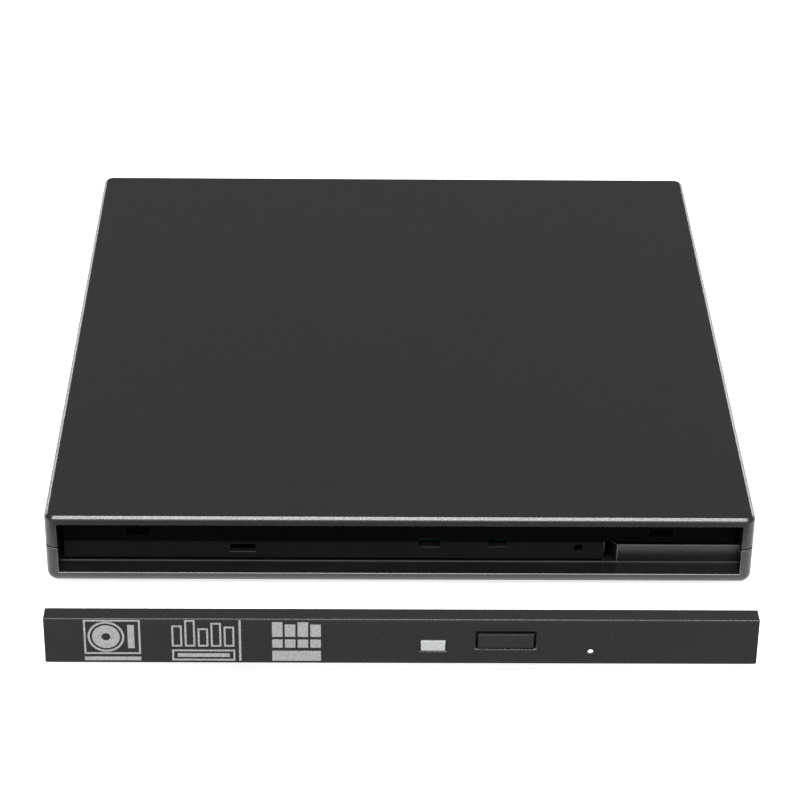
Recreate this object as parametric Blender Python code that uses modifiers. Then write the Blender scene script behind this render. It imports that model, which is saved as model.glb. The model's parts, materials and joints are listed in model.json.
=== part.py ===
"""External optical drive: a two-shell USB case, the slim tray drive in its bay, and the clip-on faceplate.

Frame: +X is right, the front faces -Y, +Z is up. The origin is the centre of the underside's flat face.
Lengths below are in millimetres; the modelling helpers turn them into metres with MM.
The faceplate stands unclipped in front of the bay and slides back onto the tray.
"""
import math

import bmesh
import bpy
from mathutils import Vector

MM = 0.001
GAP = 0.3               # resting and running gap between neighbouring pieces
REACH = 1.0             # how far a cutter runs past the face it cuts, or a rib into what it joins

# Case
CASE_W = 134.6
CASE_D = 145.0
CASE_H = 14.9
PLAN_RADIUS = 2.0
TOP_CHAMFER = 0.65
BOTTOM_RADIUS = 1.8
SPLIT_Z = 7.9           # parting line between the shells
MOUTH_W = 129.8
MOUTH_TOP = 13.0
SILL_Z = 2.3            # ledge that the faceplate stands above
STEP_Z = 2.5            # floor behind the ledge
STEP_DEPTH = 4.0
FLOOR_Z = 1.8
BACK_WALL = 2.2
LEDGE_DEPTH = 4.1
FRONT_Y = -CASE_D / 2
BACK_Y = CASE_D / 2
SEAT_Y = FRONT_Y + LEDGE_DEPTH
CAVITY_BACK_Y = BACK_Y - BACK_WALL

# Stepped block that fills the space under the drive's thin side
BLOCK_X = 39.8
BLOCK_Z = 6.3
BLOCK_BACK_Y = -48.0
LEAD_IN_X = 1.9
LEAD_IN_Y = 2.8
RIB_WIDTH = 1.5
RIB_BACK_Y = 56.0

# Feet, screws and ports
FOOT_RADIUS = 5.0
FOOT_DROP = 0.8
FOOT_BED = 0.7
FOOT_CHAMFER = 0.4
FOOT_X = 56.0
FOOT_FRONT_Y = -60.0
FOOT_REAR_Y = 54.0
SCREW_X = 58.5
SCREW_Y = 65.5
USB_X = -34.0
USB_W = 7.7
USB_LOW_Z = 3.3
USB_HIGH_Z = 7.2
USB_SHEET = 0.4
JACK_X = -47.0
JACK_Z = 5.3
JACK_NOSE_RADIUS = 1.9
JACK_BORE_RADIUS = 1.35
JACK_PIN_RADIUS = 0.5
PORT_Y = 61.0
BOARD_LOW_Z = 2.1
BOARD_HIGH_Z = 3.0
BOARD_SCREWS = ((-25.5, 67.0), (40.5, 67.0))

# Slim drive
DRIVE_X = 64.0
DRIVE_BACK_Y = 58.0
DRIVE_LOW_Z = 3.0
DRIVE_HIGH_Z = 12.4
DEEP_X = 39.4           # the drive is full depth left of this
SHELF_Z = 6.6           # underside of the thin side
SHELF_SHEET = 0.4
SHEET = 0.3
WALL_SHEET = 0.6
COVER_SHEET = 0.5
PAN_FRONT_Y = SEAT_Y + 2.3
PAN_TOP_Z = 11.6

# Tray, in the drive
DISC_X = 0.0
DISC_Y = -4.5
RECESS_RADIUS = 60.2
TRAY_X = 61.5
TRAY_BACK_Y = 57.0
TRAY_LOW_Z = 7.8
TRAY_HIGH_Z = 11.6
RECESS_Z = 9.7
SMALL_RECESS_RADIUS = 41.0   # lower step, for an 80 mm disc
SMALL_RECESS_Z = 9.2
MECH_ROOF_Z = 9.9
TRAY_WALL = 2.0
TRAY_FRONT_TOP_Z = 12.3
TRAY_DEEP_X = 38.4
SKIRT = 0.8
SKIRT_BACK_Y = 38.0
TRAY_FRONT_X = 64.2
POCKET_HALF = 2.4
POCKET_DEPTH = 3.4
FINGER_X = 38.0
FINGER_Y = -51.5
FINGER_RADIUS = 9.0
INNER_FRONT_Y = SEAT_Y + 3.2   # front edge of the cover and board behind the front wall
COVER_LOW_Z = 3.6
COVER_HIGH_Z = 3.8

# Rails
GUIDE_OUT = 63.1
GUIDE_IN = 61.75
RAIL_OUT = 62.3
RAIL_WEB = 61.8
RAIL_IN = 60.9
RAIL_MID_Z = 9.6
RAIL_FRONT_Y = -64.0
RAIL_BACK_Y = 54.0
GUIDE_FRONT_Y = -62.0
GUIDE_BACK_Y = 56.0

# Pickup traverse: local x runs outwards along the pickup's travel, local y across it
TRAVERSE_ANGLE = math.radians(225.0)
LENS_START = 23.0
ROD_Z = 5.4
ROD_RADIUS = 0.8
MAIN_ROD_Y = 14.5
SUB_ROD_Y = -13.0
SCREW_ROD_Y = 19.3
ROD_END_X = 65.5
PLATE_LOW_Z = 7.0
PLATE_HIGH_Z = 7.4
DAMPERS = ((-12.0, -14.0), (57.0, -17.0), (-12.5, 13.8))
MECH_LOW_Z = 4.1
ROTOR_RADIUS = 12.4
HUB_RADIUS = 7.3
CLAWS = 3
CLAW_IN = 5.9
CLAW_OUT = 7.5
CLAW_TRAVEL = 0.4

# Tray electronics and latch
TRAY_BOARD_LOW_Z = 4.7
TRAY_BOARD_HIGH_Z = 5.5
ON_BOARD_Z = TRAY_BOARD_HIGH_Z + GAP
ON_BOARD_TOP_Z = 7.4
LATCH_X = 30.9
LATCH_Y = -40.0
POST_X = 36.2
POST_Y = -51.6
POST_RADIUS = 0.8
PLUNGER_Y = -36.0
PLUNGER_HALF = 1.0
PLUNGER_LOW_Z = 6.4
PLUNGER_HIGH_Z = 7.0
SWITCH_TRAVEL = 0.4

# Faceplate, placed FACE_GAP in front of its clipped position
FACE_GAP = 29.5
FACE_W = 129.0
FACE_LOW_Z = 2.7
FACE_HIGH_Z = 12.5
FACE_THICK = 1.8
FACE_SKIRT = 0.9
FACE_SKIRT_DEPTH = 1.6
FACE_Y = FRONT_Y - FACE_GAP
BUTTON_X = 18.8
BUTTON_Z = 7.85
BUTTON_W = 10.1
BUTTON_H = 3.0
BUTTON_GAP = 0.4
STEM_DEPTH = 2.4          # how far the button's stem reaches into the tray front when clipped on
WINDOW_X = 5.65
WINDOW_Z = 6.65
WINDOW_W = 4.45
WINDOW_H = 2.2
PINHOLE_X = 34.2
PINHOLE_Z = 5.4
PINHOLE_RADIUS = 0.55
PINHOLE_LAND = 0.5
PINHOLE_WELL_RADIUS = 1.6
CLIP_X = 50.0
LOW_CLIP_X = -30.0
CLIP_HALF = 1.8
CLIP_DEPTH = 2.6
CLIP_LOW_Z = 8.4
CLIP_HIGH_Z = 9.2
BARB_HIGH_Z = 9.5
LOW_CLIP_LOW_Z = 4.7
LOW_CLIP_HIGH_Z = 5.8

# finish: colour, roughness, metallic
FINISHES = {
    "case_plastic": ((0.040, 0.041, 0.043), 0.55, 0.0),
    "tray_plastic": ((0.012, 0.012, 0.013), 0.50, 0.0),
    "light_plastic": ((0.62, 0.62, 0.60), 0.35, 0.0),
    "window_plastic": ((0.55, 0.56, 0.55), 0.25, 0.0),
    "rubber": ((0.020, 0.020, 0.020), 0.85, 0.0),
    "sheet_steel": ((0.55, 0.55, 0.54), 0.35, 1.0),
    "bright_steel": ((0.70, 0.70, 0.69), 0.20, 1.0),
    "dark_steel": ((0.08, 0.08, 0.085), 0.35, 1.0),
    "cast_alloy": ((0.42, 0.42, 0.42), 0.45, 1.0),
    "board_green": ((0.015, 0.10, 0.045), 0.45, 0.0),
    "chip_black": ((0.015, 0.015, 0.016), 0.40, 0.0),
    "amber_film": ((0.55, 0.23, 0.04), 0.35, 0.0),
    "clear_lens": ((0.45, 0.55, 0.75), 0.05, 0.0),
}


def clear_scene():
    """Remove what the scene holds, and make the collections for the parts and the cutters."""
    for old in list(bpy.data.objects):
        bpy.data.objects.remove(old, do_unlink=True)
    made = []
    for title in ("external_optical_drive", "cutters"):
        collection = bpy.data.collections.new(title)
        bpy.context.scene.collection.children.link(collection)
        made.append(collection)
    return made


PARTS, CUTTERS = clear_scene()


def finish_material(name, finish):
    colour, roughness, metallic = FINISHES[finish]
    material = bpy.data.materials.new(name + "_" + finish)
    material.use_nodes = True
    shader = material.node_tree.nodes["Principled BSDF"]
    shader.inputs["Base Color"].default_value = (*colour, 1.0)
    shader.inputs["Roughness"].default_value = roughness
    shader.inputs["Metallic"].default_value = metallic
    return material


def add_piece(name, mesh, finish, frame):
    """Put a mesh in the scene: a part when it has a finish, and otherwise a cutter or a joined rib."""
    piece = bpy.data.objects.new(name, mesh)
    piece.parent = frame
    if finish is None:
        CUTTERS.objects.link(piece)
        piece.hide_render = True
        piece.display_type = 'WIRE'
    else:
        PARTS.objects.link(piece)
        mesh.materials.append(finish_material(name, finish))
    return piece


def add_frame(name, location, angle=0.0):
    """An empty that a group of pieces is placed by."""
    frame = bpy.data.objects.new(name, None)
    frame.location = Vector(location) * MM
    frame.rotation_euler = (0.0, 0.0, angle)
    PARTS.objects.link(frame)
    return frame


def round_edges(bm, chosen, radius, segments):
    edges = [edge for edge in bm.edges if chosen(edge)]
    bmesh.ops.bevel(bm, geom=edges, offset=radius * MM, segments=segments, profile=0.5, affect='EDGES')


def block(name, low, high, finish=None, frame=None, corner=0.0, top=0.0, bottom=0.0, top_steps=3):
    """A box between two corners, with rounded upright corners and rounded top and bottom edges.

    One top step makes the top edge a flat chamfer.
    """
    low = Vector(low) * MM
    high = Vector(high) * MM
    half = (high.z - low.z) / 2
    near = MM * 0.001
    bm = bmesh.new()
    bmesh.ops.create_cube(bm, size=1.0)
    bmesh.ops.scale(bm, vec=high - low, verts=bm.verts)
    if corner:
        round_edges(bm, lambda e: abs(e.verts[0].co.z - e.verts[1].co.z) > near, corner, 4)
    if top:
        round_edges(bm, lambda e: all(v.co.z > half - near for v in e.verts), top, top_steps)
    if bottom:
        round_edges(bm, lambda e: all(v.co.z < near - half for v in e.verts), bottom, 3)
    mesh = bpy.data.meshes.new(name)
    bm.to_mesh(mesh)
    bm.free()
    piece = add_piece(name, mesh, finish, frame)
    piece.location = (low + high) / 2
    return piece


def rod(name, start, end, radius, finish=None, frame=None, sides=24):
    """A cylinder between two points."""
    start = Vector(start) * MM
    end = Vector(end) * MM
    bm = bmesh.new()
    bmesh.ops.create_cone(bm, cap_ends=True, segments=sides, radius1=radius * MM, radius2=radius * MM,
                          depth=(end - start).length)
    mesh = bpy.data.meshes.new(name)
    bm.to_mesh(mesh)
    bm.free()
    mesh.shade_smooth()
    mesh.set_sharp_from_angle(angle=math.radians(40.0))
    piece = add_piece(name, mesh, finish, frame)
    piece.location = (start + end) / 2
    piece.rotation_euler = (end - start).to_track_quat('Z', 'Y').to_euler()
    return piece


def turned(name, profile, finish=None, frame=None, centre=(0.0, 0.0), steps=24):
    """A body of revolution about +Z: (radius, height) points that run down its outer side.

    A profile that starts on the axis is a solid; any other is closed into a ring.
    """
    points = [(radius * MM, 0.0, height * MM) for radius, height in profile]
    edges = [(i, i + 1) for i in range(len(points) - 1)]
    if profile[0][0] > 0.0:
        edges.append((len(points) - 1, 0))
    mesh = bpy.data.meshes.new(name)
    mesh.from_pydata(points, edges, [])
    piece = add_piece(name, mesh, finish, frame)
    piece.location = Vector((*centre, 0.0)) * MM
    screw = piece.modifiers.new("Turn", 'SCREW')
    screw.steps = steps
    screw.render_steps = steps
    screw.use_merge_vertices = True
    screw.merge_threshold = 0.00001
    return piece


def plate(name, outline, low_z, high_z, finish=None, frame=None):
    """A flat outline of (x, y) points, given a thickness."""
    curve = bpy.data.curves.new(name, 'CURVE')
    curve.dimensions = '2D'
    curve.fill_mode = 'BOTH'
    curve.extrude = (high_z - low_z) / 2 * MM
    spline = curve.splines.new('POLY')
    spline.points.add(len(outline) - 1)
    for point, (x, y) in zip(spline.points, outline):
        point.co = (x * MM, y * MM, 0.0, 1.0)
    spline.use_cyclic_u = True
    flat = bpy.data.objects.new(name + "_outline", curve)
    bpy.context.scene.collection.objects.link(flat)
    evaluated = flat.evaluated_get(bpy.context.evaluated_depsgraph_get())
    mesh = bpy.data.meshes.new_from_object(evaluated)
    bpy.data.objects.remove(flat, do_unlink=True)
    bm = bmesh.new()
    bm.from_mesh(mesh)
    bmesh.ops.remove_doubles(bm, verts=bm.verts, dist=MM * 0.001)
    bm.to_mesh(mesh)
    bm.free()
    piece = add_piece(name, mesh, finish, frame)
    piece.location.z = (low_z + high_z) / 2 * MM
    return piece


def combine(piece, operation, others):
    for other in others:
        step = piece.modifiers.new(other.name, 'BOOLEAN')
        step.operation = operation
        step.object = other


def cut(piece, *others):
    combine(piece, 'DIFFERENCE', others)


def fuse(piece, *others):
    combine(piece, 'UNION', others)


def sides():
    """The two sides of the object, as a name and a sign for X."""
    return (("left", -1), ("right", 1))


def upper_shell():
    """Roof, side walls and back wall, open at the front, with two screw bosses at the rear."""
    shell = block("upper_shell", (-CASE_W / 2, FRONT_Y, SPLIT_Z + GAP / 2), (CASE_W / 2, BACK_Y, CASE_H),
                  "case_plastic", corner=PLAN_RADIUS, top=TOP_CHAMFER, top_steps=1)
    cut(shell, block("upper_cavity", (-MOUTH_W / 2, FRONT_Y - REACH, SPLIT_Z - REACH),
                     (MOUTH_W / 2, CAVITY_BACK_Y, MOUTH_TOP)))
    boss_radius = 2.8
    boss_low = FLOOR_Z + GAP
    pilot_radius = 1.15
    pilot_top = 10.0
    for side, sign in sides():
        x = sign * SCREW_X
        fuse(shell, rod("boss_" + side, (x, SCREW_Y, boss_low), (x, SCREW_Y, MOUTH_TOP + REACH), boss_radius))
        cut(shell, rod("pilot_" + side, (x, SCREW_Y, boss_low - REACH), (x, SCREW_Y, pilot_top), pilot_radius))


def lower_shell():
    """Tub with the ledge under the mouth, the stepped block, drive ribs and the holes through it."""
    top = SPLIT_Z - GAP / 2
    shell = block("lower_shell", (-CASE_W / 2, FRONT_Y, 0.0), (CASE_W / 2, BACK_Y, top),
                  "case_plastic", corner=PLAN_RADIUS, bottom=BOTTOM_RADIUS)
    half = MOUTH_W / 2
    step_back = SEAT_Y + STEP_DEPTH
    cut(shell,
        block("mouth", (-half, FRONT_Y - REACH, SILL_Z), (half, SEAT_Y, CASE_H)),
        block("step", (-half, SEAT_Y - REACH, STEP_Z), (half, step_back + REACH, CASE_H)),
        block("lower_cavity", (-half, step_back, FLOOR_Z), (half, CAVITY_BACK_Y, CASE_H)))
    wall_x = half + REACH
    fuse(shell, plate("bay_block", [(BLOCK_X, SEAT_Y + LEAD_IN_Y), (BLOCK_X + LEAD_IN_X, SEAT_Y),
                                    (wall_x, SEAT_Y), (wall_x, BLOCK_BACK_Y), (BLOCK_X, BLOCK_BACK_Y)],
                      REACH, BLOCK_Z))
    rib_z = DRIVE_LOW_Z - GAP
    for label, x, start, height in (("left", -50.0, step_back, rib_z), ("mid", -5.0, step_back, rib_z),
                                    ("right", 30.0, step_back, rib_z), ("high", 50.0, BLOCK_BACK_Y, BLOCK_Z)):
        fuse(shell, block("rib_" + label, (x, start - REACH, REACH), (x + RIB_WIDTH, RIB_BACK_Y, height)))
    for x, y in foot_places().values():
        cut(shell, rod("foot_bed", (x, y, -REACH), (x, y, FOOT_BED), FOOT_RADIUS + GAP, sides=32))
    hole_radius = 1.2
    head_radius = 2.4
    head_depth = 1.3
    for side, sign in sides():
        x = sign * SCREW_X
        cut(shell, rod("screw_hole_" + side, (x, SCREW_Y, -REACH), (x, SCREW_Y, FLOOR_Z + REACH), hole_radius),
            rod("screw_seat_" + side, (x, SCREW_Y, -REACH), (x, SCREW_Y, head_depth), head_radius))
    board_hole_low = 0.6
    for x, y in BOARD_SCREWS:
        cut(shell, rod("board_hole", (x, y, board_hole_low), (x, y, FLOOR_Z + REACH), hole_radius))
    usb_half = USB_W / 2 + GAP
    cut(shell,
        block("usb_notch", (USB_X - usb_half, CAVITY_BACK_Y - REACH, USB_LOW_Z - GAP),
              (USB_X + usb_half, BACK_Y + REACH, CASE_H)),
        rod("jack_hole", (JACK_X, CAVITY_BACK_Y - REACH, JACK_Z), (JACK_X, BACK_Y + REACH, JACK_Z),
            JACK_NOSE_RADIUS + GAP))


def foot_places():
    return {"foot_front_left": (-FOOT_X, FOOT_FRONT_Y), "foot_front_right": (FOOT_X, FOOT_FRONT_Y),
            "foot_rear_left": (-FOOT_X, FOOT_REAR_Y), "foot_rear_right": (FOOT_X, FOOT_REAR_Y)}


def feet():
    """Round rubber feet with a domed edge, each in its bed."""
    top = FOOT_BED - GAP
    for name, place in foot_places().items():
        turned(name, [(0.0, top), (FOOT_RADIUS, top), (FOOT_RADIUS, FOOT_CHAMFER - FOOT_DROP),
                      (FOOT_RADIUS - FOOT_CHAMFER, -FOOT_DROP), (0.0, -FOOT_DROP)], "rubber", centre=place, steps=32)


def case_screws():
    """Sunk pan-head screws that pull the upper shell's bosses down, with a cross recess."""
    head_radius = 2.0
    shank_radius = 0.9
    recess_half = 1.2
    recess_width = 0.25
    recess_depth = 0.7
    for side, sign in sides():
        x = sign * SCREW_X
        screw = turned("case_screw_" + side,
                       [(0.0, 9.0), (0.5, 9.0), (shank_radius, 8.2), (shank_radius, 1.2), (head_radius, 1.0),
                        (head_radius, 0.4), (head_radius - 0.3, 0.2), (0.0, 0.2)],
                       "dark_steel", centre=(x, SCREW_Y), steps=20)
        cut(screw,
            block("slot_x", (x - recess_half, SCREW_Y - recess_width, -REACH),
                  (x + recess_half, SCREW_Y + recess_width, recess_depth)),
            block("slot_y", (x - recess_width, SCREW_Y - recess_half, -REACH),
                  (x + recess_width, SCREW_Y + recess_half, recess_depth)))


def bridge_electronics():
    """Board behind the bay with its chip, crystal, drive socket, USB socket, power jack and screws."""
    board = block("bridge_board", (-52.0, 59.3, BOARD_LOW_Z), (44.0, 69.9, BOARD_HIGH_Z), "board_green")
    for label, (x, y) in zip(("left", "right"), BOARD_SCREWS):
        cut(board, rod("board_screw_hole", (x, y, REACH), (x, y, BOARD_HIGH_Z + REACH), 1.1))
        turned("board_screw_" + label, [(0.0, 4.2), (1.4, 4.1), (1.8, 3.7), (1.8, 3.3), (0.8, 3.3), (0.8, 0.9),
                                        (0.0, 0.9)], "bright_steel", centre=(x, y), steps=20)
    on_board = BOARD_HIGH_Z + GAP
    block("bridge_chip", (22.0, 61.5, on_board), (29.0, 68.5, on_board + 1.0), "chip_black")
    block("crystal", (32.0, 62.5, on_board), (35.2, 67.5, on_board + 0.9), "bright_steel", corner=1.0)
    socket = block("sata_socket", (-19.5, 59.0, on_board), (17.5, 65.2, 7.2), "chip_black")
    cut(socket, block("socket_slot", (-18.3, 58.0, 4.6), (16.3, 63.4, 6.4)))
    usb = block("usb_port", (USB_X - USB_W / 2, PORT_Y, USB_LOW_Z), (USB_X + USB_W / 2, BACK_Y - 0.4, USB_HIGH_Z),
                "sheet_steel")
    throat = USB_W / 2 - USB_SHEET
    cut(usb, block("usb_throat", (USB_X - throat, PORT_Y + 2.0, USB_LOW_Z + USB_SHEET),
                   (USB_X + throat, BACK_Y + REACH, USB_HIGH_Z - USB_SHEET)))
    fuse(usb, block("usb_tongue", (USB_X - 2.0, PORT_Y + 1.0, 4.9), (USB_X + 2.0, BACK_Y - 2.2, 5.6)))
    jack = block("power_jack", (JACK_X - 3.2, PORT_Y, USB_LOW_Z), (JACK_X + 3.2, CAVITY_BACK_Y - GAP, 7.3),
                 "chip_black")
    fuse(jack, rod("jack_nose", (JACK_X, PORT_Y + 4.0, JACK_Z), (JACK_X, BACK_Y - 0.5, JACK_Z), JACK_NOSE_RADIUS))
    cut(jack, rod("jack_bore", (JACK_X, PORT_Y + 3.0, JACK_Z), (JACK_X, BACK_Y + REACH, JACK_Z),
                  JACK_BORE_RADIUS))
    fuse(jack, rod("jack_pin", (JACK_X, PORT_Y + 2.0, JACK_Z), (JACK_X, BACK_Y - 2.0, JACK_Z),
                   JACK_PIN_RADIUS, sides=12))


def drive_box():
    """Steel pan with its raised shelf on the right, the flat cover, the rear board and its plug."""
    pan = block("drive_pan", (-DRIVE_X, PAN_FRONT_Y, DRIVE_LOW_Z), (DRIVE_X, DRIVE_BACK_Y, PAN_TOP_Z), "sheet_steel")
    inner = DRIVE_X - WALL_SHEET
    inner_back = DRIVE_BACK_Y - WALL_SHEET
    open_front = PAN_FRONT_Y - REACH
    cut(pan,
        block("under_shelf", (DEEP_X, open_front, 0.0), (DRIVE_X + REACH, DRIVE_BACK_Y + REACH, SHELF_Z)),
        block("deep_bay", (-inner, open_front, DRIVE_LOW_Z + SHEET),
              (DEEP_X - WALL_SHEET, inner_back, CASE_H)),
        block("thin_bay", (0.0, open_front, SHELF_Z + SHELF_SHEET), (inner, inner_back, CASE_H)),
        block("plug_window", (-21.0, inner_back - REACH, 3.8), (19.0, DRIVE_BACK_Y + REACH, 7.6)))
    block("drive_cover", (-DRIVE_X, PAN_FRONT_Y, DRIVE_HIGH_Z - COVER_SHEET), (DRIVE_X, DRIVE_BACK_Y, DRIVE_HIGH_Z),
          "sheet_steel", corner=0.8)
    block("rear_board", (-40.0, 42.0, 3.6), (30.0, 57.0, 4.3), "board_green")
    plug = block("sata_plug", (-20.0, 51.0, 4.6), (18.0, 58.4, 7.3), "chip_black")
    cut(plug, block("plug_mouth", (-19.0, 54.0, 4.9), (17.0, 60.0, 6.9)))
    fuse(plug, block("plug_tongue", (-17.5, 53.0, 5.3), (15.5, 62.6, 5.9)))
    cable_low = 3.6
    cable_thick = 0.15
    plate("flex_cable", [(-57.0, -20.0), (-47.0, -20.0), (-47.0, 42.0), (-40.4, 46.0), (-40.4, 54.0),
                         (-57.0, 54.0)], cable_low, cable_low + cable_thick, "amber_film")
    post_top = TRAY_LOW_Z - 0.4
    rod("latch_post", (POST_X, POST_Y, DRIVE_LOW_Z + SHEET + GAP), (POST_X, POST_Y, post_top), POST_RADIUS,
        "bright_steel", sides=16)


def side_strip(name, sign, across, along, half_height, finish=None):
    """A bar at the rails' height on one side of the drive, from its inner and outer X and its two Y ends."""
    x_low, x_high = sorted(sign * x for x in across)
    return block(name, (x_low, along[0], RAIL_MID_Z - half_height), (x_high, along[1], RAIL_MID_Z + half_height),
                 finish)


def rails():
    """On each side a plastic guide fixed in the pan, and a steel rail between the guide and the tray."""
    lip = 0.5
    tongue_half = 0.3
    rail_half = 0.9
    channel_half = rail_half + GAP
    guide_half = channel_half + lip
    for side, sign in sides():
        guide = side_strip("rail_guide_" + side, sign, (GUIDE_IN, GUIDE_OUT), (GUIDE_FRONT_Y, GUIDE_BACK_Y),
                           guide_half, "tray_plastic")
        cut(guide, side_strip("guide_channel_" + side, sign, (GUIDE_IN - REACH, GUIDE_OUT - lip),
                              (GUIDE_FRONT_Y - REACH, GUIDE_BACK_Y + REACH), channel_half))
        rail = side_strip("rail_" + side, sign, (RAIL_WEB, RAIL_OUT), (RAIL_FRONT_Y, RAIL_BACK_Y), rail_half,
                          "bright_steel")
        fuse(rail, side_strip("rail_tongue_" + side, sign, (RAIL_IN, RAIL_OUT - GAP),
                              (RAIL_FRONT_Y + REACH, RAIL_BACK_Y - REACH), tongue_half))


def tray():
    """Plastic tray: disc recess, opening for the spindle and pickup, front wall, skirts and pockets."""
    front_back = SEAT_Y + TRAY_WALL
    chamfer = 14.0
    body = plate("tray", [(-TRAY_X, SEAT_Y + REACH), (TRAY_X, SEAT_Y + REACH), (TRAY_X, TRAY_BACK_Y - chamfer),
                          (TRAY_X - chamfer, TRAY_BACK_Y), (chamfer - TRAY_X, TRAY_BACK_Y),
                          (-TRAY_X, TRAY_BACK_Y - chamfer)], TRAY_LOW_Z, TRAY_HIGH_Z, "tray_plastic")
    fuse(body,
         block("front_deep", (-TRAY_FRONT_X, SEAT_Y, DRIVE_LOW_Z), (DEEP_X - GAP, front_back, TRAY_FRONT_TOP_Z)),
         block("front_thin", (TRAY_DEEP_X - REACH, SEAT_Y, SHELF_Z + GAP),
               (TRAY_FRONT_X, front_back, TRAY_FRONT_TOP_Z)))
    skirt_low = DRIVE_LOW_Z + SHEET + 2 * GAP
    for side, x in (("left", -TRAY_X), ("right", TRAY_DEEP_X - SKIRT)):
        fuse(body, block("skirt_" + side, (x, front_back - REACH, skirt_low), (x + SKIRT, SKIRT_BACK_Y,
                                                                                TRAY_LOW_Z + REACH)))
    centre = (DISC_X, DISC_Y)
    cut(body, rod("disc_recess", (*centre, RECESS_Z), (*centre, CASE_H), RECESS_RADIUS, sides=72),
        rod("small_recess", (*centre, SMALL_RECESS_Z), (*centre, CASE_H), SMALL_RECESS_RADIUS, sides=60),
        rod("spindle_opening", (*centre, MECH_LOW_Z), (*centre, RECESS_Z + REACH), 15.2, sides=36))
    cut(body, block("pickup_opening", (0.0, -12.0, MECH_LOW_Z), (ROD_END_X, 12.0, MECH_ROOF_Z), frame=TRAVERSE))
    groove_half = 0.6
    notch_floor = RECESS_Z + 0.6
    for side, sign in sides():
        cut(body, side_strip("rail_groove_" + side, sign, (RAIL_IN - GAP, TRAY_X + REACH), (front_back, CASE_D),
                             groove_half))
        cut(body, rod("finger_notch_" + side, (sign * FINGER_X, FINGER_Y, notch_floor),
                      (sign * FINGER_X, FINGER_Y, CASE_H), FINGER_RADIUS))
        cut(body, block("clip_pocket_" + side, (sign * CLIP_X - POCKET_HALF, SEAT_Y - REACH, CLIP_LOW_Z - GAP),
                        (sign * CLIP_X + POCKET_HALF, SEAT_Y + POCKET_DEPTH, BARB_HIGH_Z + GAP)))
    wall_low = SEAT_Y - REACH
    wall_high = front_back + REACH
    cut(body,
        block("switch_window", (BUTTON_X - 1.8, wall_low, 5.7), (BUTTON_X + 1.8, wall_high, 7.5)),
        block("led_window", (WINDOW_X - 2.05, wall_low, 5.6), (WINDOW_X + 2.05, wall_high, 7.6)),
        block("low_clip_slot", (LOW_CLIP_X - POCKET_HALF, wall_low, LOW_CLIP_LOW_Z - GAP),
              (LOW_CLIP_X + POCKET_HALF, wall_high, LOW_CLIP_HIGH_Z + GAP)),
        rod("release_hole", (PINHOLE_X, wall_low, PINHOLE_Z), (PINHOLE_X, wall_high, PINHOLE_Z), 0.9))
    for index, (x, y) in enumerate(DAMPERS):
        fuse(body, rod("damper_pin_" + str(index), (x, y, 5.9), (x, y, TRAY_LOW_Z + REACH), 0.6, frame=TRAVERSE,
                       sides=12))


def tray_cover():
    """Thin plate that closes the tray's underside, clear of the latch post's path and of the flex cable."""
    right_x = 33.4
    left_x = -44.0
    wing_x = -57.0
    wing_back_y = -26.0
    plate("tray_cover", [(wing_x, INNER_FRONT_Y), (right_x, INNER_FRONT_Y), (right_x, SKIRT_BACK_Y),
                         (left_x, SKIRT_BACK_Y), (left_x, wing_back_y), (wing_x, wing_back_y)],
          COVER_LOW_Z, COVER_HIGH_Z, "sheet_steel")


def traverse():
    """Chassis plate on rubber dampers, guide rods, sled motor, lead screw and spindle motor."""
    chassis = block("traverse_plate", (-17.0, -19.6, PLATE_LOW_Z), (ROD_END_X, 20.6, PLATE_HIGH_Z), "dark_steel",
                    frame=TRAVERSE, corner=3.0)
    cut(chassis,
        block("pickup_slot", (0.0, -8.5, REACH), (63.5, 8.5, CASE_H), frame=TRAVERSE),
        rod("motor_opening", (0.0, 0.0, REACH), (0.0, 0.0, CASE_H), 14.2, frame=TRAVERSE, sides=36),
        block("sled_motor_bay", (-9.5, 15.5, REACH), (12.0, 24.0, CASE_H), frame=TRAVERSE))
    for index, (x, y) in enumerate(DAMPERS):
        cut(chassis, rod("damper_hole_" + str(index), (x, y, REACH), (x, y, CASE_H), 1.7, frame=TRAVERSE))
        turned("damper_" + str(index + 1), [(1.4, 7.6), (1.4, 6.7), (2.3, 6.7), (2.3, 6.0), (0.85, 6.0), (0.85, 7.6)],
               "rubber", frame=TRAVERSE, centre=(x, y), steps=20)
    for name, y in (("main_rod", MAIN_ROD_Y), ("sub_rod", SUB_ROD_Y)):
        rod(name, (8.5, y, ROD_Z), (ROD_END_X, y, ROD_Z), ROD_RADIUS, "bright_steel", frame=TRAVERSE, sides=16)
    block("sled_motor", (-9.0, 16.0, MECH_LOW_Z), (11.5, 22.6, 7.5), "bright_steel", frame=TRAVERSE, top=1.2,
          bottom=1.2)
    lead_screw()
    turned("spindle_motor", [(0.0, 6.6), (13.0, 6.6), (13.6, 6.2), (13.6, 4.5), (13.0, MECH_LOW_Z),
                             (0.0, MECH_LOW_Z)], "cast_alloy", frame=TRAVERSE, steps=32)


def lead_screw():
    """Ridged screw beside the main rod; its origin is on its own axis."""
    start = 12.0
    length = ROD_END_X - start
    pitch = 3.0
    rings = int(length / pitch) - 1
    root = ROD_RADIUS - 0.2
    crest_half = 0.5
    ridge_half = 0.9
    profile = [(0.0, length), (root, length)]
    for ring in range(rings, 0, -1):
        height = ring * pitch
        profile += [(root, height + ridge_half), (ROD_RADIUS, height + crest_half),
                    (ROD_RADIUS, height - crest_half), (root, height - ridge_half)]
    profile += [(root, 0.0), (0.0, 0.0)]
    screw = turned("lead_screw", profile, "bright_steel", frame=TRAVERSE, steps=12)
    screw.location = Vector((start, SCREW_ROD_Y, ROD_Z)) * MM
    screw.rotation_euler = (0.0, math.radians(90.0), 0.0)


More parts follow.
